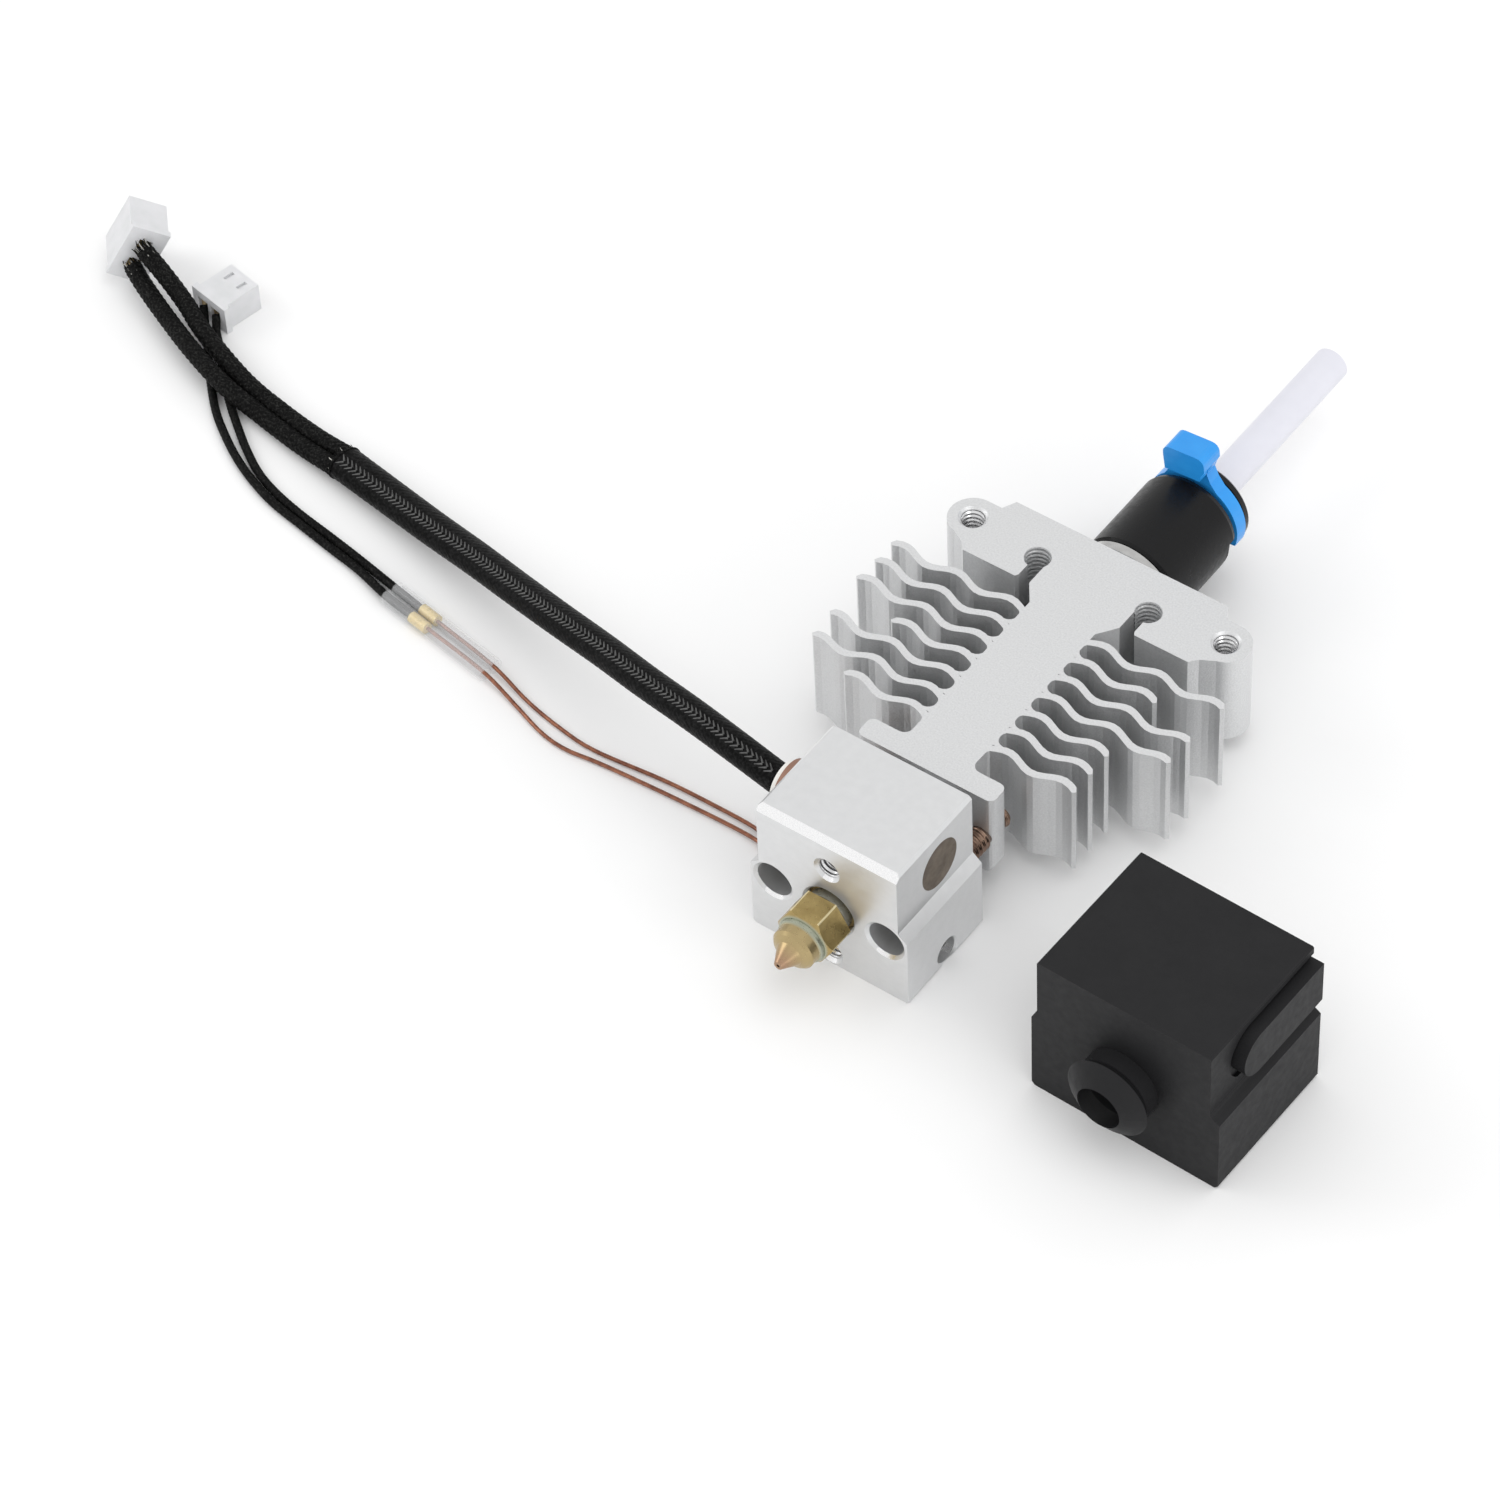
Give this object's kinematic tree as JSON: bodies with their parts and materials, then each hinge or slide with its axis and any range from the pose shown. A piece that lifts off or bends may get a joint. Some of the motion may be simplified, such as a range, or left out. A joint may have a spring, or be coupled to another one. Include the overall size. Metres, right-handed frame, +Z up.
{
  "type": "3d printer hotend assembly",
  "caption": "Printer hotend with finned heat sink, heater block, brass nozzle, push-fit feed tube, wired heater and sensor, and a separate silicone sock.",
  "frame": {"origin": "midway between the two ear mounting holes of the heat sink, on the filament axis, at mid thickness", "axes": "+Y along the filament axis towards the tube end the filament enters, +X across the heat sink, +Z up, square to the heat sink's flat faces; the bench is at z = -8.2 mm"},
  "size_m": [0.1788, 0.1032, 0.0197],
  "materials": {
    "sink_aluminium": "satin, bead blasted",
    "block_aluminium": "milled, smooth",
    "break_steel": "turned",
    "brass": "turned, polished",
    "cartridge_metal": "heat stained",
    "ceramic": "fired ceramic",
    "dark_steel": "blackened",
    "screw_steel": "copper-coloured by heat",
    "sensor_metal": "dull",
    "nickel": "nickel plated, satin",
    "fitting_black": "satin moulded",
    "seal_rubber": "smooth",
    "spring_steel": "bright",
    "collet_black": "glossy moulded",
    "clip_blue": "glossy moulded",
    "ptfe": "milky, waxy",
    "braid": "varnished black braid",
    "sensor_lead_black": "dull black braid",
    "plug_nylon": "translucent white nylon",
    "terminal_metal": "stamped",
    "enamel_copper": "clear enamel over copper",
    "splice_clear": "clear",
    "silicone": "matt silicone"
  },
  "bodies": {
    "hotend": {"heat_sink": "sink_aluminium", "heat_break": "break_steel", "heater_block": "block_aluminium", "heater_cartridge": "cartridge_metal", "cartridge_collar": "ceramic", "set_screws": "dark_steel", "block_screws": "screw_steel", "thermistor": "sensor_metal", "fitting_base": "nickel", "fitting_body": "fitting_black", "seal_ring": "seal_rubber", "grab_ring": "spring_steel", "heater_sleeve": "braid", "heater_lead_a": "braid", "heater_lead_b": "braid", "heater_plug": "plug_nylon", "heater_terminals": "terminal_metal", "thermistor_wire_a": "enamel_copper", "thermistor_wire_b": "enamel_copper", "splice_tube": "splice_clear", "splice_crimps": "terminal_metal", "sensor_lead_a": "sensor_lead_black", "sensor_lead_b": "sensor_lead_black", "sensor_plug": "plug_nylon", "sensor_terminals": "terminal_metal"},
    "nozzle_body": {"nozzle": "brass"},
    "tube_body": {"ptfe_tube": "ptfe"},
    "collet_body": {"collet": "collet_black"},
    "clip_body": {"collet_clip": "clip_blue"},
    "sock_body": {"silicone_sock": "silicone"}
  },
  "joints": [
    {"name": "nozzle_unscrew", "type": "slide", "parent": "hotend", "child": "nozzle_body", "axis": [0, -1, 0], "range_m": [0, 0.0085]},
    {"name": "tube_pull", "type": "slide", "parent": "hotend", "child": "tube_body", "axis": [0, 1, 0], "range_m": [0, 0.02]},
    {"name": "collet_press", "type": "slide", "parent": "hotend", "child": "collet_body", "axis": [0, -1, 0], "range_m": [0, 0.0003]},
    {"name": "clip_slide", "type": "slide", "parent": "hotend", "child": "clip_body", "axis": [-0.0785, 0, 0.9969], "range_m": [0, 0.012]},
    {"name": "sock_pull", "type": "slide", "parent": "hotend", "child": "sock_body", "axis": [-0.0262, -0.9997, 0], "range_m": [0, 0.025]}
  ]
}
